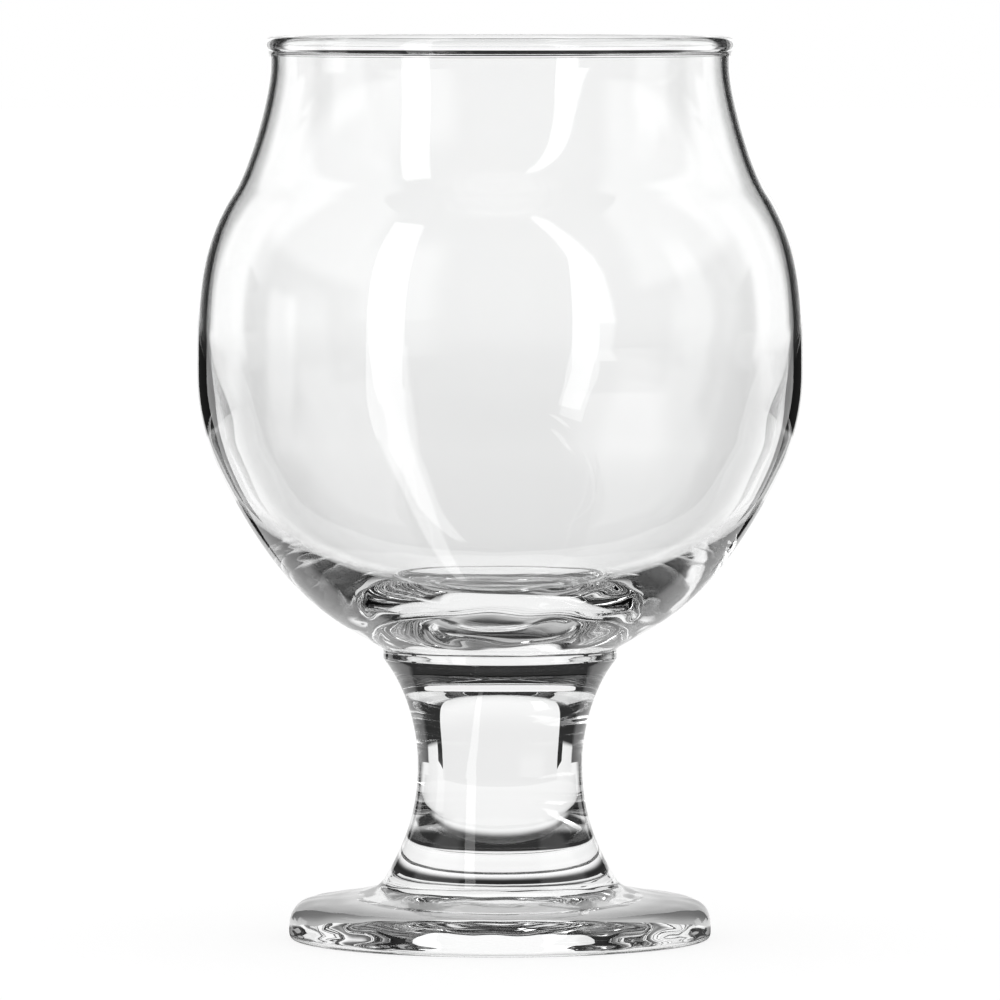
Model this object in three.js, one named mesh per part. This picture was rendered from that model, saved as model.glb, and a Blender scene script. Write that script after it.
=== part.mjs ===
// Beer taster glass: a blown tulip bowl with a heavy floor, a pressed waisted stem and a pressed round
// foot, three members of clear colourless glass fused end to end while hot.
// Millimetres, +Z up. The origin is on the axis of the glass, in the plane that the foot stands on.

import * as THREE from "three";

// Foot: its edge, its sloping top and the hollow-sided root that runs up to the stem.
const FOOT_RADIUS = 24.5;
const FOOT_RIM_HEIGHT = 4.1;
const FOOT_TOP_RISE = 1.2;
const FOOT_EDGE_ROUND = 2.5;
const FOOT_TOE_ROUND = 0.7;
const ROOT_RISE = 1.6;
const ROOT_SPREAD = 3.5;

// Shallow hollow under the foot. The flat ring round it is what the glass stands on.
const HOLLOW_RADIUS = 15;
const HOLLOW_DEPTH = 2.2;

// Fused joints: the foot and the stem share the lower radius, the stem and the bowl the upper one.
const LOWER_JOINT_RADIUS = 13.5;
const UPPER_JOINT_RADIUS = 13.55;

// Stem: a spool drawn in to its waist, with a straight land under the bowl.
const WAIST_RADIUS = 9.55;
const STEM_LENGTH = 26.9;
const WAIST_RISE = 13.4;
const STEM_LAND = 1.2;

// Bowl, outside: the steps in height from the joint to the lip, and the radii that they reach.
const FLANK_RISE = 18.3;
const BELLY_RISE = 13.8;
const SHOULDER_RISE = 21.1;
const NECK_RISE = 14.3;
const LIP_HEIGHT = 3.5;
const BELLY_RADIUS = 35.1;
const FLANK_DRAW = 3.75;
const SHOULDER_DRAW = 4.2;
const NECK_RADIUS = 26.75;

// Bowl, inside: the wall thickens below the belly and again to the flank. The floor is solid glass, a shallow
// dish that turns up into the flank.
const WALL_THICKNESS = 1.0;
const BELLY_THICKNESS = 1.95;
const BELLY_THICKENING = 13;
const THICKENING_LEAD = 5.1;
const FLANK_THICKNESS = 2.0;
const FLOOR_THICKNESS = 3.8;
const BEAD_PROUD = 0.5;

// Directions of the profiles in degrees: 0 points away from the axis, 90 straight up, 180 to the axis.
const OUTWARD = 0;
const UPWARD = 90;
const HEEL_ANGLE = 31.5;
const FLANK_ANGLE = 62;
const SHOULDER_ANGLE = 122.3;
const STEM_FOOT_ANGLE = 122;
const STEM_HEAD_ANGLE = 50;

// Pulls of the two handles of each profile curve, as shares of the distance between its stations.
const ROOT_PULLS = [0.5, 0.3];
const STEM_FOOT_PULLS = [0.5, 0.2];
const STEM_HEAD_PULLS = [0.36, 0.28];
const HEEL_PULLS = [0.22, 0.6];
const FLANK_PULLS = [0.37, 0.35];
const BELLY_PULLS = [0.355, 0.37];
const NECK_PULLS = [0.24, 0.19];
const FLOOR_PULLS = [0.46, 0.37];

// Smoothness of the faceted solids.
const SEGMENTS = 48;
const CURVE_STEPS = 6;
const FLOOR_STEPS = 10;
const BEAD_STEPS = 8;
const ROUND_STEPS = 3;

// Heights of the two joints and of the bowl's stations, up from the plane that the foot stands on.
const lowerJoint = FOOT_RIM_HEIGHT + FOOT_TOP_RISE + ROOT_RISE;
const upperJoint = lowerJoint + STEM_LENGTH;
const flankHeight = FLANK_RISE;
const bellyHeight = flankHeight + BELLY_RISE;
const shoulderHeight = bellyHeight + SHOULDER_RISE;
const neckHeight = shoulderHeight + NECK_RISE;

function clearGlass() {
  return new THREE.MeshStandardMaterial({
    color: 0xf2f5f4,
    roughness: 0.02,
    metalness: 0,
    transparent: true,
    opacity: 0.35,
  });
}

// A profile's station: a point of the half section, and the direction in which the profile passes it.
function station(radius, height, degrees) {
  const angle = THREE.MathUtils.degToRad(degrees);
  const along = new THREE.Vector2(Math.cos(angle), Math.sin(angle));
  return { at: new THREE.Vector2(radius, height), along };
}

// The smooth curve from one station to the next, drawn along their directions by its two pulls.
function curveBetween(from, to, [fromPull, toPull]) {
  const distance = from.at.distanceTo(to.at);
  const leave = from.at.clone().addScaledVector(from.along, distance * fromPull);
  const arrive = to.at.clone().addScaledVector(to.along, -distance * toPull);
  return new THREE.CubicBezierCurve(from.at, leave, arrive, to.at);
}

// A solid turned about +Z from a half section that starts and ends on the axis.
function turned(name, section, height) {
  const geometry = new THREE.LatheGeometry(section, SEGMENTS);
  geometry.rotateX(Math.PI / 2);
  const mesh = new THREE.Mesh(geometry, clearGlass());
  mesh.name = name;
  mesh.position.z = height;
  return mesh;
}

function foot() {
  const corner = new THREE.Vector2(FOOT_RADIUS, FOOT_RIM_HEIGHT);
  const root = new THREE.Vector2(LOWER_JOINT_RADIUS + ROOT_SPREAD, FOOT_RIM_HEIGHT + FOOT_TOP_RISE);
  const inward = root.clone().sub(corner).normalize();
  const topStart = corner.clone().addScaledVector(inward, FOOT_EDGE_ROUND);
  const joint = station(LOWER_JOINT_RADIUS, lowerJoint, STEM_FOOT_ANGLE);
  const rootCurve = curveBetween({ at: root, along: inward }, joint, ROOT_PULLS);

  const edge = new THREE.Path();
  edge.moveTo(0, HOLLOW_DEPTH);
  edge.quadraticCurveTo(HOLLOW_RADIUS / 2, HOLLOW_DEPTH, HOLLOW_RADIUS, 0);
  edge.lineTo(FOOT_RADIUS - FOOT_TOE_ROUND, 0);
  edge.quadraticCurveTo(FOOT_RADIUS, 0, FOOT_RADIUS, FOOT_TOE_ROUND);
  edge.lineTo(FOOT_RADIUS, FOOT_RIM_HEIGHT - FOOT_EDGE_ROUND);
  edge.quadraticCurveTo(corner.x, corner.y, topStart.x, topStart.y);
  const section = [
    ...edge.getPoints(ROUND_STEPS),
    ...rootCurve.getPoints(CURVE_STEPS),
    new THREE.Vector2(0, lowerJoint),
  ];
  return turned("foot", section, 0);
}

function stem() {
  const lowerEnd = station(LOWER_JOINT_RADIUS, 0, STEM_FOOT_ANGLE);
  const waist = station(WAIST_RADIUS, WAIST_RISE, UPWARD);
  const landStart = station(UPPER_JOINT_RADIUS, STEM_LENGTH - STEM_LAND, STEM_HEAD_ANGLE);
  const section = [
    new THREE.Vector2(0, 0),
    ...curveBetween(lowerEnd, waist, STEM_FOOT_PULLS).getPoints(CURVE_STEPS),
    ...curveBetween(waist, landStart, STEM_HEAD_PULLS).getPoints(CURVE_STEPS).slice(1),
    new THREE.Vector2(UPPER_JOINT_RADIUS, STEM_LENGTH),
    new THREE.Vector2(0, STEM_LENGTH),
  ];
  return turned("stem", section, lowerJoint);
}

// Thickness of the bowl's wall at a height: even above the belly, then eased to the belly's and the flank's.
function wallAt(height) {
  const top = bellyHeight + THICKENING_LEAD;
  const foot = top - BELLY_THICKENING;
  const belowBelly = THREE.MathUtils.smoothstep(top - height, 0, BELLY_THICKENING);
  const toFlank = THREE.MathUtils.smoothstep(foot - height, 0, foot - flankHeight);
  const wall = THREE.MathUtils.lerp(WALL_THICKNESS, BELLY_THICKNESS, belowBelly);
  return wall + (FLANK_THICKNESS - BELLY_THICKNESS) * toFlank;
}

// The inner face beside a stretch of the outer profile, each point one wall in along the normal.
function innerFace(curve) {
  const points = [];
  for (let step = CURVE_STEPS; step >= 0; step -= 1) {
    const outer = curve.getPoint(step / CURVE_STEPS);
    const tangent = curve.getTangent(step / CURVE_STEPS);
    const inward = new THREE.Vector2(-tangent.y, tangent.x);
    points.push(outer.clone().addScaledVector(inward, wallAt(outer.y)));
  }
  return points;
}

// The lip's bead, from the outer wall over the top to the inner wall: a round that is proud of both.
function lipBead(rimHeight) {
  const halfWall = WALL_THICKNESS / 2;
  const beadRadius = halfWall + BEAD_PROUD;
  const seam = Math.acos(halfWall / beadRadius);
  const centre = new THREE.Vector2(NECK_RADIUS - halfWall, rimHeight - beadRadius);
  const bead = new THREE.EllipseCurve(centre.x, centre.y, beadRadius, beadRadius, -seam, Math.PI + seam);
  return bead.getPoints(BEAD_STEPS);
}

function bowl() {
  const heel = station(UPPER_JOINT_RADIUS, 0, HEEL_ANGLE);
  const flank = station(BELLY_RADIUS - FLANK_DRAW, flankHeight, FLANK_ANGLE);
  const belly = station(BELLY_RADIUS, bellyHeight, UPWARD);
  const shoulder = station(BELLY_RADIUS - SHOULDER_DRAW, shoulderHeight, SHOULDER_ANGLE);
  const neck = station(NECK_RADIUS, neckHeight, UPWARD);

  const heelCurve = curveBetween(heel, flank, HEEL_PULLS);
  const flankCurve = curveBetween(flank, belly, FLANK_PULLS);
  const bellyCurve = curveBetween(belly, shoulder, BELLY_PULLS);
  const neckCurve = curveBetween(shoulder, neck, NECK_PULLS);

  const floor = station(0, FLOOR_THICKNESS, OUTWARD);
  const wallFoot = innerFace(flankCurve).at(-1);
  const floorEdge = station(wallFoot.x, wallFoot.y, FLANK_ANGLE);
  const floorCurve = curveBetween(floor, floorEdge, FLOOR_PULLS);

  const section = [
    new THREE.Vector2(0, 0),
    ...heelCurve.getPoints(CURVE_STEPS),
    ...flankCurve.getPoints(CURVE_STEPS).slice(1),
    ...bellyCurve.getPoints(CURVE_STEPS).slice(1),
    ...neckCurve.getPoints(CURVE_STEPS).slice(1),
    ...lipBead(neckHeight + LIP_HEIGHT),
    ...innerFace(neckCurve),
    ...innerFace(bellyCurve).slice(1),
    ...innerFace(flankCurve).slice(1),
    ...floorCurve.getPoints(FLOOR_STEPS).reverse().slice(1),
  ];
  return turned("bowl", section, upperJoint);
}

const glass = new THREE.Group();
glass.add(foot(), stem(), bowl());

export default glass;
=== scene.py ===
"""Beer taster glass in clear glass: a blown tulip bowl, a pressed waisted stem and a pressed round foot.

Metres, +Z up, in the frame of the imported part. The camera looks along +Y, a little from above.
"""

import math

import bpy
import numpy as np
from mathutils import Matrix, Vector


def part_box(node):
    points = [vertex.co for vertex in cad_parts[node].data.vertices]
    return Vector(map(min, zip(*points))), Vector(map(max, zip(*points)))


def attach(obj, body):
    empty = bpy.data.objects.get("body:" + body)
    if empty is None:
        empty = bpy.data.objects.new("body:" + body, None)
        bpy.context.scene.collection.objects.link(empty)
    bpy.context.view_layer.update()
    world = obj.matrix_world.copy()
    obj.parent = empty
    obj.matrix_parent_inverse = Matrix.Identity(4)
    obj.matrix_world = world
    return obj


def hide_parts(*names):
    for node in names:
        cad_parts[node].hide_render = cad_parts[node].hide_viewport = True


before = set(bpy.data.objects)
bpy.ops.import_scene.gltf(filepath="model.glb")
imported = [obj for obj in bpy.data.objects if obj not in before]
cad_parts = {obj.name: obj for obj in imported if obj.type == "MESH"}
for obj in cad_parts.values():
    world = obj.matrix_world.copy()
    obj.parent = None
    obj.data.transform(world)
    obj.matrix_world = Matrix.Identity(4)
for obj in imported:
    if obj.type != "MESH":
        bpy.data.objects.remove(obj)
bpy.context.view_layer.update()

MM = 0.001

# Heights of the two fused joints and of the lip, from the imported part.
LOWER_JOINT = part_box("foot")[1].z / MM
UPPER_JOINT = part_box("stem")[1].z / MM
LIP_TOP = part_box("bowl")[1].z / MM

# Foot, in millimetres.
FOOT_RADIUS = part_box("foot")[1].x / MM
FOOT_RIM_HEIGHT = 4.1
FOOT_EDGE_ROUND = 2.5
FOOT_TOE_ROUND = 0.7
ROOT_RADIUS = 17.0
ROOT_HEIGHT = 5.3
ROOT_PULLS = (0.5, 0.3)
HOLLOW_RADIUS = 15.0
HOLLOW_DEPTH = 2.2

# Stem, in millimetres.
LOWER_JOINT_RADIUS = 13.5
UPPER_JOINT_RADIUS = 13.55
WAIST_RADIUS = 9.55
WAIST_HEIGHT = LOWER_JOINT + 13.4
STEM_LAND = 1.2
STEM_FOOT_ANGLE = 122
STEM_FOOT_PULLS = (0.5, 0.2)
STEM_HEAD_ANGLE = 50
STEM_HEAD_PULLS = (0.36, 0.28)

# Bowl, in millimetres: heights, radii, directions of the profile, walls.
FLANK_HEIGHT = UPPER_JOINT + 18.3
BELLY_HEIGHT = FLANK_HEIGHT + 13.8
SHOULDER_HEIGHT = BELLY_HEIGHT + 21.1
NECK_HEIGHT = LIP_TOP - 3.5
BELLY_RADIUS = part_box("bowl")[1].x / MM
FLANK_RADIUS = BELLY_RADIUS - 3.75
SHOULDER_RADIUS = BELLY_RADIUS - 4.2
NECK_RADIUS = 26.75
HEEL_ANGLE = 31.5
HEEL_PULLS = (0.22, 0.6)
FLANK_ANGLE = 62
FLANK_PULLS = (0.37, 0.35)
SHOULDER_ANGLE = 122.3
BELLY_PULLS = (0.355, 0.37)
NECK_PULLS = (0.24, 0.19)
WALL = 1.0
BELLY_WALL = 1.95
BELLY_WALL_REACH = (71, 58)
FLANK_WALL = 2.0
FLOOR_THICKNESS = 3.8
FLOOR_PULLS = (0.46, 0.37)
BEAD_PROUD = 0.5

# Glass: how far it bends light, the tints it drifts between, and the drifts and patches of haze per metre.
GLASS_IOR = 1.52
CLEAR_TINT = (0.995, 0.995, 0.995, 1)
DEEP_TINT = (0.98, 0.985, 0.983, 1)
DRIFTS_PER_METRE = 25
PATCHES_PER_METRE = 60

# Fineness of the surfaces, and their small fixed lengths in millimetres.
SPIN_STEPS = 240
CURVE_STEPS = 36
BEAD_STEPS = 32
LINE_STEPS = 10
CORNER_REACH = 0.25
CORNER_SAMPLES = 21
CAP_SETBACK = 0.02
ON_AXIS = 1e-6
SHARP_ANGLE = 40

# Waves that hot working leaves in the glass, in millimetres: their pitch and depth, and where they fade.
FLOOR_WAVES = (6.0, 0.05)
FLOOR_WAVES_REACH = (12, 22)
FOOT_WAVES = (4.5, 0.025)
FOOT_WAVES_START = 0.2
WAVE_DIRECTIONS = 11


def station(radius, height, degrees):
    """A point of the half section and the way that the profile passes it: 0 is outward, 90 is up."""
    angle = math.radians(degrees)
    return np.array([radius, height]), np.array([math.cos(angle), math.sin(angle)])


def curve_between(start, end, pulls, steps=CURVE_STEPS):
    """Cubic from station to station: its handles lie along both directions, at shares of the distance."""
    distance = np.linalg.norm(end[0] - start[0])
    leave = start[0] + start[1] * distance * pulls[0]
    arrive = end[0] - end[1] * distance * pulls[1]
    t = np.linspace(0, 1, steps + 1)[:, None]
    u = 1 - t
    return u**3 * start[0] + 3 * u**2 * t * leave + 3 * u * t**2 * arrive + t**3 * end[0]


def line(start, end, steps=LINE_STEPS):
    """Even points on the straight line from start to end."""
    t = np.linspace(0, 1, steps + 1)[:, None]
    return (1 - t) * np.array(start) + t * np.array(end)


def bend(start, corner, end, steps=LINE_STEPS):
    """Quadratic that leaves start and reaches end along the two sides of a corner."""
    t = np.linspace(0, 1, steps + 1)[:, None]
    return (1 - t) ** 2 * np.array(start) + 2 * (1 - t) * t * np.array(corner) + t**2 * np.array(end)


def foot_profile():
    """Half section of the foot from the axis underneath, round its edge and up to the joint with the stem."""
    corner = np.array([FOOT_RADIUS, FOOT_RIM_HEIGHT])
    root = np.array([ROOT_RADIUS, ROOT_HEIGHT])
    inward = (root - corner) / np.linalg.norm(root - corner)
    top_start = corner + inward * FOOT_EDGE_ROUND
    joint = station(LOWER_JOINT_RADIUS, LOWER_JOINT, STEM_FOOT_ANGLE)
    return [
        bend((0, HOLLOW_DEPTH), (HOLLOW_RADIUS / 2, HOLLOW_DEPTH), (HOLLOW_RADIUS, 0), CURVE_STEPS),
        line((HOLLOW_RADIUS, 0), (FOOT_RADIUS - FOOT_TOE_ROUND, 0)),
        bend((FOOT_RADIUS - FOOT_TOE_ROUND, 0), (FOOT_RADIUS, 0), (FOOT_RADIUS, FOOT_TOE_ROUND)),
        line((FOOT_RADIUS, FOOT_TOE_ROUND), (FOOT_RADIUS, FOOT_RIM_HEIGHT - FOOT_EDGE_ROUND)),
        bend((FOOT_RADIUS, FOOT_RIM_HEIGHT - FOOT_EDGE_ROUND), corner, top_start, CURVE_STEPS // 2),
        line(top_start, root, CURVE_STEPS // 2),
        curve_between((root, inward), joint, ROOT_PULLS),
    ]


def stem_profile():
    """Half section of the stem's side: a spool drawn in to its waist, with a straight land at the top."""
    lower_end = station(LOWER_JOINT_RADIUS, LOWER_JOINT, STEM_FOOT_ANGLE)
    waist = station(WAIST_RADIUS, WAIST_HEIGHT, 90)
    land = station(UPPER_JOINT_RADIUS, UPPER_JOINT - STEM_LAND, STEM_HEAD_ANGLE)
    return [
        curve_between(lower_end, waist, STEM_FOOT_PULLS),
        curve_between(waist, land, STEM_HEAD_PULLS),
        line(land[0], (UPPER_JOINT_RADIUS, UPPER_JOINT)),
    ]


def smooth_share(share):
    """0 up to 0 and 1 from 1 on, with a smooth step between."""
    share = np.clip(share, 0, 1)
    return share**2 * (3 - 2 * share)


def inner_face(outer):
    """Points one wall inside an outer profile, along its normals.

    The wall eases from its plain thickness to the belly's over the belly's reach, and on to the flank's.
    """
    tangent = np.gradient(outer, axis=0)
    tangent /= np.linalg.norm(tangent, axis=1, keepdims=True)
    inward = np.stack([-tangent[:, 1], tangent[:, 0]], axis=1)
    top, foot = BELLY_WALL_REACH
    below_belly = smooth_share((top - outer[:, 1]) / (top - foot))
    to_flank = smooth_share((foot - outer[:, 1]) / (foot - FLANK_HEIGHT))
    wall = WALL + (BELLY_WALL - WALL) * below_belly + (FLANK_WALL - BELLY_WALL) * to_flank
    return (outer + inward * wall[:, None])[::-1]


def bowl_profile():
    """Half section of the bowl: up the outside, over the lip's bead, down the inside to the floor."""
    heel = station(UPPER_JOINT_RADIUS, UPPER_JOINT, HEEL_ANGLE)
    flank = station(FLANK_RADIUS, FLANK_HEIGHT, FLANK_ANGLE)
    belly = station(BELLY_RADIUS, BELLY_HEIGHT, 90)
    shoulder = station(SHOULDER_RADIUS, SHOULDER_HEIGHT, SHOULDER_ANGLE)
    neck = station(NECK_RADIUS, NECK_HEIGHT, 90)
    heel_curve = curve_between(heel, flank, HEEL_PULLS)
    flank_curve = curve_between(flank, belly, FLANK_PULLS)
    belly_curve = curve_between(belly, shoulder, BELLY_PULLS)
    neck_curve = curve_between(shoulder, neck, NECK_PULLS)

    bead_radius = WALL / 2 + BEAD_PROUD
    seam = math.acos(WALL / 2 / bead_radius)
    turn = np.linspace(-seam, math.pi + seam, BEAD_STEPS + 1)
    centre = np.array([NECK_RADIUS - WALL / 2, LIP_TOP - bead_radius])
    bead = centre + bead_radius * np.stack([np.cos(turn), np.sin(turn)], axis=1)

    inner_flank = inner_face(flank_curve)
    floor_edge = (inner_flank[-1], flank[1])
    floor = station(0, UPPER_JOINT + FLOOR_THICKNESS, 0)
    floor_curve = curve_between(floor, floor_edge, FLOOR_PULLS)[::-1]
    return [
        heel_curve,
        flank_curve,
        belly_curve,
        neck_curve,
        line(neck_curve[-1], bead[0]),
        bead,
        line(bead[-1], (NECK_RADIUS - WALL, NECK_HEIGHT)),
        inner_face(neck_curve),
        inner_face(belly_curve),
        inner_flank,
        floor_curve,
    ]


def chained(stretches):
    """One run of points from stretches that share their ends."""
    return np.vstack([stretches[0]] + [stretch[1:] for stretch in stretches[1:]])


def eased(profile, reach=CORNER_REACH):
    """The profile with its corners run round, as hot glass does: each point is the mean of what lies near."""
    steps = np.linalg.norm(np.diff(profile, axis=0), axis=1)
    along = np.concatenate([[0], np.cumsum(steps)])
    offsets = np.linspace(-reach, reach, CORNER_SAMPLES)
    near = np.minimum(along, along[-1] - along)[:, None]
    wanted = along[:, None] + np.clip(offsets, -near, near)
    return np.stack([np.interp(wanted, along, profile[:, k]).mean(axis=1) for k in (0, 1)], axis=1)


def whole_profile():
    """The run of the whole glass, and the places along it where foot, stem and bowl meet."""
    foot = chained(foot_profile())
    stem = chained(stem_profile())
    bowl = chained(bowl_profile())
    run = eased(chained([foot, stem, bowl]))
    return run, len(foot) - 1, len(foot) + len(stem) - 2


def waves(points, pitch):
    """Smooth bumps of one pitch: the sum of cosines that run along directions spread by the golden angle."""
    order = np.arange(WAVE_DIRECTIONS)
    rise = (2 * order + 1) / WAVE_DIRECTIONS - 1
    turn = order * math.pi * (3 - math.sqrt(5))
    spread = np.sqrt(1 - rise**2)
    directions = np.stack([spread * np.cos(turn), spread * np.sin(turn), rise], axis=1)
    phase = points @ directions.T * 2 * math.pi / pitch
    return np.cos(phase + order).sum(axis=-1) / math.sqrt(WAVE_DIRECTIONS)


def foot_relief(rings, points):
    """The waves of the pressed foot, which fade out at the ring it stands on and at the joint."""
    height = rings[:, 1]
    share = smooth_share(height - FOOT_WAVES_START) * smooth_share(LOWER_JOINT - height)
    pitch, depth = FOOT_WAVES
    return depth * share[:, None] * waves(points, pitch)


def floor_relief(rings, points):
    """The waves of the bowl's inner floor, which fade out toward the flank."""
    inside = np.arange(len(rings)) > np.argmax(rings[:, 1])
    near, far = FLOOR_WAVES_REACH
    share = inside * smooth_share((far - rings[:, 0]) / (far - near))
    pitch, depth = FLOOR_WAVES
    return depth * share[:, None] * waves(points, pitch)


def turned(name, profile, capped, relief=None):
    """A closed surface of revolution: (r cos a, r sin a, z) for each profile point and each angle.

    The profile runs from the axis or a cap's edge to the axis or a cap's edge. A cap is a fan about the axis,
    drawn a hair into its own piece, so that the two caps of a joint never lie in one plane. A relief moves
    each point out along the normal of the profile.
    """
    low_pole = profile[0][1] + (CAP_SETBACK if capped[0] else 0)
    high_pole = profile[-1][1] - (CAP_SETBACK if capped[1] else 0)
    rings = profile[profile[:, 0] >= ON_AXIS]
    angle = np.linspace(0, 2 * math.pi, SPIN_STEPS, endpoint=False)
    points = np.empty((len(rings), SPIN_STEPS, 3))
    points[..., 0] = rings[:, :1] * np.cos(angle)
    points[..., 1] = rings[:, :1] * np.sin(angle)
    points[..., 2] = rings[:, 1:]
    if relief:
        tangent = np.gradient(rings, axis=0)
        tangent /= np.linalg.norm(tangent, axis=1, keepdims=True)
        lift = relief(rings, points)
        points[..., 0] += lift * tangent[:, 1:] * np.cos(angle)
        points[..., 1] += lift * tangent[:, 1:] * np.sin(angle)
        points[..., 2] -= lift * tangent[:, :1]
    poles = np.array([[0, 0, low_pole], [0, 0, high_pole]])
    vertices = np.vstack([points.reshape(-1, 3), poles]) * MM

    index = np.arange(len(rings) * SPIN_STEPS).reshape(len(rings), SPIN_STEPS)
    following = np.roll(index, -1, axis=1)
    quads = np.stack([index[:-1], following[:-1], following[1:], index[1:]], axis=-1).reshape(-1, 4)
    low = len(vertices) - 2
    fans = np.vstack([
        np.stack([np.full(SPIN_STEPS, low), following[0], index[0]], axis=-1),
        np.stack([np.full(SPIN_STEPS, low + 1), index[-1], following[-1]], axis=-1),
    ])
    mesh = bpy.data.meshes.new(name)
    mesh.from_pydata(vertices.tolist(), [], quads.tolist() + fans.tolist())
    mesh.polygons.foreach_set("use_smooth", np.ones(len(mesh.polygons), bool))
    slots = np.zeros(len(mesh.polygons), np.int32)
    slots[len(quads):len(quads) + SPIN_STEPS] = 1 if capped[0] else 0
    slots[len(quads) + SPIN_STEPS:] = 1 if capped[1] else 0
    mesh.polygons.foreach_set("material_index", slots)
    mesh.set_sharp_from_angle(angle=math.radians(SHARP_ANGLE))
    mesh.update()
    piece = bpy.data.objects.new(name, mesh)
    bpy.context.scene.collection.objects.link(piece)
    return piece


def glass_surface():
    """What hot working leaves on glass, as a group: a drift of tint, patches of haze, and ripples.

    Each is noise in Object coordinates. The tint's and the haze's are broad; the ripples' pitch is given.
    """
    group = bpy.data.node_groups.new("glass_surface", "ShaderNodeTree")
    group.interface.new_socket("Ripples per metre", in_out="INPUT", socket_type="NodeSocketFloat")
    group.interface.new_socket("Most haze", in_out="INPUT", socket_type="NodeSocketFloat")
    group.interface.new_socket("Tint", in_out="OUTPUT", socket_type="NodeSocketColor")
    group.interface.new_socket("Roughness", in_out="OUTPUT", socket_type="NodeSocketFloat")
    group.interface.new_socket("Ripple", in_out="OUTPUT", socket_type="NodeSocketFloat")
    given = group.nodes.new("NodeGroupInput")
    result = group.nodes.new("NodeGroupOutput")
    place = group.nodes.new("ShaderNodeTexCoord")
    drift, patches, ripple = [group.nodes.new("ShaderNodeTexNoise") for _ in range(3)]
    drift.inputs["Scale"].default_value = DRIFTS_PER_METRE
    patches.inputs["Scale"].default_value = PATCHES_PER_METRE
    group.links.new(given.outputs["Ripples per metre"], ripple.inputs["Scale"])
    for noise in (drift, patches, ripple):
        group.links.new(place.outputs["Object"], noise.inputs["Vector"])
    tint = group.nodes.new("ShaderNodeMix")
    tint.data_type = "RGBA"
    tint.inputs["A"].default_value = CLEAR_TINT
    tint.inputs["B"].default_value = DEEP_TINT
    haze = group.nodes.new("ShaderNodeMath")
    haze.operation = "MULTIPLY"
    group.links.new(drift.outputs["Fac"], tint.inputs["Factor"])
    group.links.new(patches.outputs["Fac"], haze.inputs[0])
    group.links.new(given.outputs["Most haze"], haze.inputs[1])
    group.links.new(tint.outputs["Result"], result.inputs["Tint"])
    group.links.new(haze.outputs[0], result.inputs["Roughness"])
    group.links.new(ripple.outputs["Fac"], result.inputs["Ripple"])
    return group


def clear_glass(name, surface, ripples, haze, ripple_depth):
    """Clear colourless glass with a worked surface: ripples per metre, the most haze, the ripples' depth."""
    material = bpy.data.materials.new(name)
    material.use_nodes = True
    tree = material.node_tree
    shader = tree.nodes["Principled BSDF"]
    shader.inputs["IOR"].default_value = GLASS_IOR
    shader.inputs["Transmission Weight"].default_value = 1.0
    worked = tree.nodes.new("ShaderNodeGroup")
    worked.node_tree = surface
    worked.inputs["Ripples per metre"].default_value = ripples
    worked.inputs["Most haze"].default_value = haze
    bump = tree.nodes.new("ShaderNodeBump")
    bump.inputs["Distance"].default_value = ripple_depth
    tree.links.new(worked.outputs["Tint"], shader.inputs["Base Color"])
    tree.links.new(worked.outputs["Roughness"], shader.inputs["Roughness"])
    tree.links.new(worked.outputs["Ripple"], bump.inputs["Height"])
    tree.links.new(bump.outputs["Normal"], shader.inputs["Normal"])
    return material


def fused_joint():
    """The face where two members have run together: it passes light straight on."""
    material = bpy.data.materials.new("fused_joint")
    material.use_nodes = True
    shader = material.node_tree.nodes["Principled BSDF"]
    shader.inputs["Base Color"].default_value = (1, 1, 1, 1)
    shader.inputs["Roughness"].default_value = 0.0
    shader.inputs["IOR"].default_value = 1.0
    shader.inputs["Transmission Weight"].default_value = 1.0
    return material


def make_glass():
    """The three members, each standing for its node."""
    run, lower, upper = whole_profile()
    surface = glass_surface()
    blown = clear_glass("blown_glass", surface, ripples=90, haze=0.006, ripple_depth=0.00001)
    pressed = clear_glass("pressed_glass", surface, ripples=240, haze=0.012, ripple_depth=0.00001)
    joint = fused_joint()
    members = [
        ("foot", run[: lower + 1], (False, True), foot_relief, pressed, "pressed_glass"),
        ("stem", run[lower : upper + 1], (True, True), None, pressed, "pressed_glass"),
        ("bowl", run[upper:], (True, False), floor_relief, blown, "bowl_glass"),
    ]
    for node, profile, capped, relief, material, slot in members:
        piece = turned("clear_" + node, profile, capped, relief)
        piece.data.materials.append(material)
        piece.data.materials.append(joint)
        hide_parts(node)
        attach(piece, "root")


# Camera of the photograph: metres, and millimetres for its sensor.
CAMERA_DISTANCE = 1.226
CAMERA_HEIGHT = 0.116
AIM_HEIGHT = 0.051
VIEW_WIDTH = 0.11606
SENSOR_WIDTH = 36

# Most turns of a path of light.
MOST_TURNS = 40
MOST_REFLECTIONS = 20

# Studio: metres, and degrees of azimuth, with 0 behind the glass and 90 at its right. A level of 1 is white.
# A pair of places is a soft edge, from its start to its end. A window is its middle, the half of its width
# and the softness of its edges.
ORIGIN = (0, 0, 0)
DARK = 0.03

# White card close behind the glass, brighter toward its top.
CARD_DISTANCE = 0.10
CARD_HALF_WIDTH = 0.058
CARD_HEIGHT = 0.14
CARD_LEVELS = (0.92, 1.07)
CARD_GRADE = (0.035, 0.080)

# Soft bent cards at either side.
SIDE_CARD_DISTANCE = 0.07
SIDE_CARD_WINDOW = (77, 13, 4)
SIDE_CARD_FOOT = (0.052, 0.064)
SIDE_CARD_TOP = (0.110, 0.130)
SIDE_CARD_LEVEL = 1.0
SIDE_CARD_COLUMNS = 13

# Dark flags that run back and out from the white card's edges.
FLAG_LENGTH = 0.42
FLAG_TURN = 40
FLAG_HEIGHTS = (0.009, 0.20)

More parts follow.
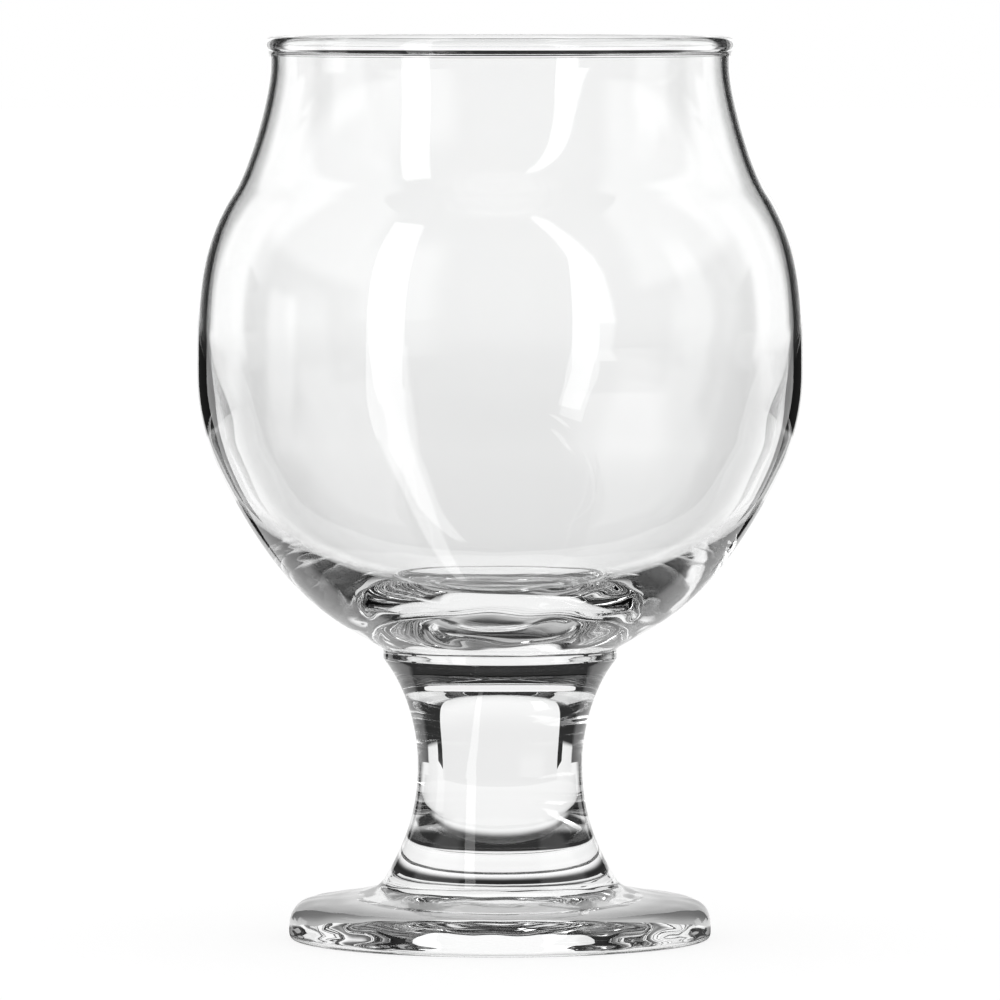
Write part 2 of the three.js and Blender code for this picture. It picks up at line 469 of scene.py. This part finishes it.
# Strip lamp at the left front.
LAMP_LEVEL = 2.4
LAMP_DISTANCE = 0.14
LAMP_AZIMUTH = -141
LAMP_HALF_ANGLE = 6.5
LAMP_HEIGHT = 0.19
LAMP_COLUMNS = 7

# Curtain round the table.
CURTAIN_RADIUS = 0.62
CURTAIN_CENTRE_Y = -0.34
CURTAIN_HEIGHT = 0.9
CURTAIN_COLUMNS = 97
FRONT_EDGE = (125, 150)
FRONT_LEVEL = 0.06
LEFT_WINDOW = (-90, 7, 2)
LEFT_LEVEL = 0.95
LEFT_TOP = (0.12, 0.16)
UPPER_WINDOW = (95, 31, 6)
UPPER_LEVEL = 0.8
UPPER_FOOT = (0.20, 0.28)
SKIRT_WINDOW = (38, 11, 1.5)
SKIRT_TOP = (0.05, 0.07)

# Table: its sectors as the glass sees them, the shadow of the foot, and its look to the camera.
TABLE_FRONT = 0.03
BEHIND_WINDOW = (0, 62, 6)
LEFT_START = (0.08, 0.2)
CORNER_WINDOW = (135, 18, 8)
CORNER_START = (0.06, 0.14)
CORNER_END = (0.55, 0.70)
# Painted pool of the lamp's light on the table, seen from a centre near the glass.
POOL_CENTRE = (-0.005, -0.022, 0)
POOL_WINDOW = (-137, 7, 1.5)
POOL_START = (0.030, 0.036)
# Painted shadow of the foot on the table, which starts closer in behind.
CLOSE_WINDOW = (0, 25, 6)
CLOSE_START = (0.0185, 0.0225)
FOOT_SHADOW = (0.0225, 0.034)
# Painted glimmer of light on the table under the foot, with painted shade toward the foot's edge.
GLIMMER_UNDER_FOOT = 0.5
EDGE_SHADE = 0.4
EDGE_START = (0.0160, 0.0190)
EDGE_END = (0.0200, 0.0235)
# Painted shade of the stem on the table under the foot.
STEM_SHADE = (0, 0.0125, 0)
STEM_SHADE_EDGE = (0.005, 0.009)
FLOOR_HALF = 6.0
FLOOR_GLOW = 0.80
FLOOR_TINT = 0.23


def make_camera():
    """The photograph's view: from the front, a little from above, the glass filling the frame."""
    data = bpy.data.cameras.new("camera")
    camera = bpy.data.objects.new("camera", data)
    bpy.context.scene.collection.objects.link(camera)
    reach = math.hypot(CAMERA_DISTANCE, CAMERA_HEIGHT - AIM_HEIGHT)
    data.sensor_width = SENSOR_WIDTH
    data.lens = SENSOR_WIDTH * reach / VIEW_WIDTH
    tilt = math.atan2(CAMERA_HEIGHT - AIM_HEIGHT, CAMERA_DISTANCE)
    camera.location = (0, -CAMERA_DISTANCE, CAMERA_HEIGHT)
    camera.rotation_euler = (math.pi / 2 - tilt, 0, 0)
    bpy.context.scene.camera = camera


def math_node(tree, operation, *values):
    """A Math node on the given numbers or sockets; its result."""
    node = tree.nodes.new("ShaderNodeMath")
    node.operation = operation
    for socket, value in zip(node.inputs, values):
        if isinstance(value, (int, float)):
            socket.default_value = value
        else:
            tree.links.new(value, socket)
    return node.outputs[0]


def product(tree, first, *others):
    """The product of two or more sockets."""
    for other in others:
        first = math_node(tree, "MULTIPLY", first, other)
    return first


def largest(tree, first, *others):
    """The largest of two or more sockets or numbers."""
    for other in others:
        first = math_node(tree, "MAXIMUM", first, other)
    return first


def ramp(tree, value, edge, at_start, at_end):
    """at_start up to the start of an edge, at_end from its end on, with a smooth step between."""
    node = tree.nodes.new("ShaderNodeMapRange")
    node.interpolation_type = "SMOOTHSTEP"
    tree.links.new(value, node.inputs["Value"])
    node.inputs["From Min"].default_value = edge[0]
    node.inputs["From Max"].default_value = edge[1]
    node.inputs["To Min"].default_value = at_start
    node.inputs["To Max"].default_value = at_end
    return node.outputs["Result"]


def window(tree, angle, middle, half, soft):
    """1 where an angle in degrees lies within half of the middle, easing to 0 over the soft edge."""
    off = math_node(tree, "ABSOLUTE", math_node(tree, "SUBTRACT", angle, middle))
    return ramp(tree, off, (half - soft, half + soft), 1, 0)


def offset_from(tree, centre):
    """The step from a centre to a point of the studio, in Object coordinates."""
    place = tree.nodes.new("ShaderNodeTexCoord")
    offset = tree.nodes.new("ShaderNodeVectorMath")
    offset.operation = "SUBTRACT"
    offset.inputs[1].default_value = centre
    tree.links.new(place.outputs["Object"], offset.inputs[0])
    return offset.outputs["Vector"]


def height_of(tree):
    """The height of a point of the studio."""
    split = tree.nodes.new("ShaderNodeSeparateXYZ")
    tree.links.new(offset_from(tree, ORIGIN), split.inputs[0])
    return split.outputs["Z"]


def distance_from(tree, centre):
    """The distance of a point of the studio from a centre."""
    length = tree.nodes.new("ShaderNodeVectorMath")
    length.operation = "LENGTH"
    tree.links.new(offset_from(tree, centre), length.inputs[0])
    return length.outputs["Value"]


def azimuth_of(tree, centre=ORIGIN):
    """The azimuth of a point of the studio in degrees about a centre: 0 is behind it, 90 at its right."""
    split = tree.nodes.new("ShaderNodeSeparateXYZ")
    tree.links.new(offset_from(tree, centre), split.inputs[0])
    turn = math_node(tree, "ARCTAN2", split.outputs["X"], split.outputs["Y"])
    return math_node(tree, "DEGREES", turn)


def glowing(name, level):
    """A material that shines at a level: a number, or a function that makes the level's socket in a tree."""
    material = bpy.data.materials.new(name)
    material.use_nodes = True
    tree = material.node_tree
    tree.nodes.clear()
    out = tree.nodes.new("ShaderNodeOutputMaterial")
    glow = tree.nodes.new("ShaderNodeEmission")
    if callable(level):
        tree.links.new(level(tree), glow.inputs["Strength"])
    else:
        glow.inputs["Strength"].default_value = level
    tree.links.new(glow.outputs[0], out.inputs["Surface"])
    return material


def stage_sheet(name, corners, material):
    """A studio sheet from a grid of points, shape (rows, columns, 3), that only the glass sees."""
    rows, columns = corners.shape[:2]
    index = np.arange(rows * columns).reshape(rows, columns)
    cells = [index[:-1, :-1], index[:-1, 1:], index[1:, 1:], index[1:, :-1]]
    quads = np.stack(cells, axis=-1).reshape(-1, 4)
    mesh = bpy.data.meshes.new(name)
    mesh.from_pydata(corners.reshape(-1, 3).tolist(), [], quads.tolist())
    mesh.materials.append(material)
    sheet = bpy.data.objects.new(name, mesh)
    bpy.context.scene.collection.objects.link(sheet)
    sheet.visible_camera = False
    sheet.visible_diffuse = False
    sheet.visible_shadow = False


def upright(middle, turn, half_width, heights):
    """Corners of an upright sheet: the middle of its foot, the turn of its width from +X, and its heights."""
    along = np.array([math.cos(turn), math.sin(turn), 0]) * half_width
    lows = np.array([middle - along, middle + along])
    return np.stack([lows + np.array([0, 0, height]) for height in heights])


def arc_sheet(azimuths, reach, heights):
    """Corners of an upright sheet bent round the glass: a reach for each azimuth, at the given heights."""
    ring = np.stack([np.sin(azimuths) * reach, np.cos(azimuths) * reach, np.zeros_like(azimuths)], axis=1)
    return np.stack([ring + np.array([0, 0, height]) for height in heights])


def card_level(tree):
    """The level of the card behind the glass, which grows with the height."""
    return ramp(tree, height_of(tree), CARD_GRADE, *CARD_LEVELS)


def soft_card():
    """The side cards' material, which fades out toward all four edges of a card."""
    material = glowing("side_card", SIDE_CARD_LEVEL)
    tree = material.node_tree
    height = height_of(tree)
    off = math_node(tree, "ABSOLUTE", azimuth_of(tree))
    across = window(tree, off, *SIDE_CARD_WINDOW)
    over_foot = ramp(tree, height, SIDE_CARD_FOOT, 0, 1)
    under_top = ramp(tree, height, SIDE_CARD_TOP, 1, 0)
    clear = tree.nodes.new("ShaderNodeBsdfTransparent")
    mix = tree.nodes.new("ShaderNodeMixShader")
    tree.links.new(product(tree, over_foot, under_top, across), mix.inputs[0])
    tree.links.new(clear.outputs[0], mix.inputs[1])
    tree.links.new(tree.nodes["Emission"].outputs[0], mix.inputs[2])
    tree.links.new(mix.outputs[0], tree.nodes["Material Output"].inputs["Surface"])
    return material


def make_cards():
    """The white card close behind the glass, and a soft bent card at either side."""
    corners = upright(np.array([0, CARD_DISTANCE, 0]), 0, CARD_HALF_WIDTH, (0, CARD_HEIGHT))
    stage_sheet("card", corners, glowing("card", card_level))
    white = soft_card()
    middle, half, soft = SIDE_CARD_WINDOW
    reach = half + soft
    azimuths = np.radians(np.linspace(middle - reach, middle + reach, SIDE_CARD_COLUMNS))
    heights = (SIDE_CARD_FOOT[0], SIDE_CARD_TOP[1])
    for name, side in (("left_card", -1), ("right_card", 1)):
        stage_sheet(name, arc_sheet(side * azimuths, SIDE_CARD_DISTANCE, heights), white)


def make_flags():
    """Two dark flags that run back and out from the card's edges, a little clear of the table."""
    dark = glowing("flag", DARK)
    half = FLAG_LENGTH / 2
    turn = math.radians(FLAG_TURN)
    for name, side in (("left_flag", -1), ("right_flag", 1)):
        out = CARD_HALF_WIDTH + half * math.sin(turn)
        middle = np.array([side * out, CARD_DISTANCE + half * math.cos(turn), 0])
        stage_sheet(name, upright(middle, side * (math.pi / 2 - turn), half, FLAG_HEIGHTS), dark)


def make_lamp():
    """A tall strip lamp at the left front, whose reflections run down the bowl."""
    first = LAMP_AZIMUTH - LAMP_HALF_ANGLE
    last = LAMP_AZIMUTH + LAMP_HALF_ANGLE
    azimuths = np.radians(np.linspace(first, last, LAMP_COLUMNS))
    corners = arc_sheet(azimuths, LAMP_DISTANCE, (0, LAMP_HEIGHT))
    stage_sheet("strip_lamp", corners, glowing("strip_lamp", LAMP_LEVEL))


def curtain_level(tree):
    """The curtain's level at each point, the largest of its parts.

    It is dark, and a little lighter in front. A pale strip stands low at the left, both sides are pale high
    up, and a white skirt runs along the table on either side of the card.
    """
    azimuth = azimuth_of(tree)
    off = math_node(tree, "ABSOLUTE", azimuth)
    height = height_of(tree)
    front = ramp(tree, off, FRONT_EDGE, DARK, FRONT_LEVEL)
    left = product(tree, window(tree, azimuth, *LEFT_WINDOW), ramp(tree, height, LEFT_TOP, LEFT_LEVEL, 0))
    upper = product(tree, window(tree, off, *UPPER_WINDOW), ramp(tree, height, UPPER_FOOT, 0, UPPER_LEVEL))
    skirt = product(tree, window(tree, off, *SKIRT_WINDOW), ramp(tree, height, SKIRT_TOP, 1, 0))
    return largest(tree, front, left, upper, skirt)


def make_curtain():
    """A curtain round the table, an upright cylinder with a dark top.

    Its reach is the distance from the glass to the circle at each azimuth.
    """
    azimuths = np.linspace(-math.pi, math.pi, CURTAIN_COLUMNS)
    toward = np.cos(azimuths) * CURTAIN_CENTRE_Y
    reach = toward + np.sqrt(toward**2 + CURTAIN_RADIUS**2 - CURTAIN_CENTRE_Y**2)
    walls = arc_sheet(azimuths, reach, (0, CURTAIN_HEIGHT))
    stage_sheet("curtain", walls, glowing("curtain", curtain_level))
    across = np.array([-2 * CURTAIN_RADIUS, 2 * CURTAIN_RADIUS])
    x, y = np.meshgrid(across, across)
    top = np.stack([x, y, np.full_like(x, CURTAIN_HEIGHT)], axis=-1)
    stage_sheet("curtain_top", top, glowing("curtain_top", DARK))


def table_level(tree):
    """The table's level to the glass at each point: sectors times a shadow, plus the glimmer under the foot.

    The sectors are white behind, a strip at the left, a corner at the right front and the lamp's pool. The
    rest is dim. The shadow is 0 near the foot and 1 away from it, and starts closer in behind. The glimmer is
    dark in the stem's shade and less than half as bright toward the foot's edge.
    """
    azimuth = azimuth_of(tree)
    radius = distance_from(tree, ORIGIN)
    behind = window(tree, azimuth, *BEHIND_WINDOW)
    left = product(tree, window(tree, azimuth, *LEFT_WINDOW), ramp(tree, radius, LEFT_START, 0, LEFT_LEVEL))
    corner_reach = product(tree, ramp(tree, radius, CORNER_START, 0, 1), ramp(tree, radius, CORNER_END, 1, 0))
    corner = product(tree, window(tree, azimuth, *CORNER_WINDOW), corner_reach)
    # Painted pool of the lamp's light, as bright as the lamp.
    under_lamp = window(tree, azimuth_of(tree, POOL_CENTRE), *POOL_WINDOW)
    painted_pool = product(tree, under_lamp, ramp(tree, radius, POOL_START, 0, LAMP_LEVEL))
    lit = largest(tree, behind, left, corner, painted_pool, TABLE_FRONT)

    # Painted shadow of the foot: 0 near the foot, 1 away from it.
    close_behind = product(tree, window(tree, azimuth, *CLOSE_WINDOW), ramp(tree, radius, CLOSE_START, 0, 1))
    outside_painted_shadow = largest(tree, close_behind, ramp(tree, radius, FOOT_SHADOW, 0, 1))

    # Painted glimmer under the foot, dark in the stem's painted shade and dimmer toward the foot's edge.
    glimmer = ramp(tree, distance_from(tree, STEM_SHADE), STEM_SHADE_EDGE, DARK, GLIMMER_UNDER_FOOT)
    edge_shade = ramp(tree, radius, EDGE_START, 1, EDGE_SHADE)
    inside_foot = ramp(tree, radius, EDGE_END, 1, 0)
    painted_glimmer = product(tree, glimmer, edge_shade, inside_foot)
    return math_node(tree, "ADD", product(tree, lit, outside_painted_shadow), painted_glimmer)


def floor_material():
    """White to the camera, with the object's shadow; the table's painted light and shade to the glass."""
    material = bpy.data.materials.new("floor")
    material.use_nodes = True
    tree = material.node_tree
    tree.nodes.clear()
    out = tree.nodes.new("ShaderNodeOutputMaterial")
    paths = tree.nodes.new("ShaderNodeLightPath")
    seen = tree.nodes.new("ShaderNodeMixShader")
    to_glass = tree.nodes.new("ShaderNodeEmission")
    to_camera = tree.nodes.new("ShaderNodeAddShader")
    white = tree.nodes.new("ShaderNodeEmission")
    white.inputs["Strength"].default_value = FLOOR_GLOW
    shade = tree.nodes.new("ShaderNodeBsdfDiffuse")
    shade.inputs["Color"].default_value = (FLOOR_TINT, FLOOR_TINT, FLOOR_TINT, 1)
    mirrored = largest(tree, paths.outputs["Is Glossy Ray"], paths.outputs["Is Transmission Ray"])
    tree.links.new(product(tree, table_level(tree), mirrored), to_glass.inputs["Strength"])
    tree.links.new(white.outputs[0], to_camera.inputs[0])
    tree.links.new(shade.outputs[0], to_camera.inputs[1])
    tree.links.new(paths.outputs["Is Camera Ray"], seen.inputs[0])
    tree.links.new(to_glass.outputs[0], seen.inputs[1])
    tree.links.new(to_camera.outputs[0], seen.inputs[2])
    tree.links.new(seen.outputs[0], out.inputs["Surface"])
    return material


def make_floor():
    """The table that the glass stands on."""
    mesh = bpy.data.meshes.new("floor")
    across = np.array([-FLOOR_HALF, FLOOR_HALF])
    x, y = np.meshgrid(across, across)
    corners = np.stack([x, y, np.zeros_like(x)], axis=-1).reshape(-1, 3)
    mesh.from_pydata(corners.tolist(), [], [(0, 1, 3, 2)])
    mesh.materials.append(floor_material())
    floor = bpy.data.objects.new("floor", mesh)
    bpy.context.scene.collection.objects.link(floor)


def make_world():
    """Plain white all round."""
    world = bpy.data.worlds.new("studio")
    bpy.context.scene.world = world
    world.use_nodes = True
    backdrop = world.node_tree.nodes["Background"]
    backdrop.inputs["Color"].default_value = (1, 1, 1, 1)
    backdrop.inputs["Strength"].default_value = 1.0


def set_render():
    """Standard colours, and paths long enough for light that turns many times inside thick glass."""
    scene = bpy.context.scene
    scene.view_settings.view_transform = "Standard"
    scene.cycles.max_bounces = MOST_TURNS
    scene.cycles.transmission_bounces = MOST_TURNS
    scene.cycles.glossy_bounces = MOST_REFLECTIONS
    scene.cycles.transparent_max_bounces = MOST_TURNS


make_camera()
make_glass()
make_floor()
make_cards()
make_flags()
make_lamp()
make_curtain()
make_world()
set_render()
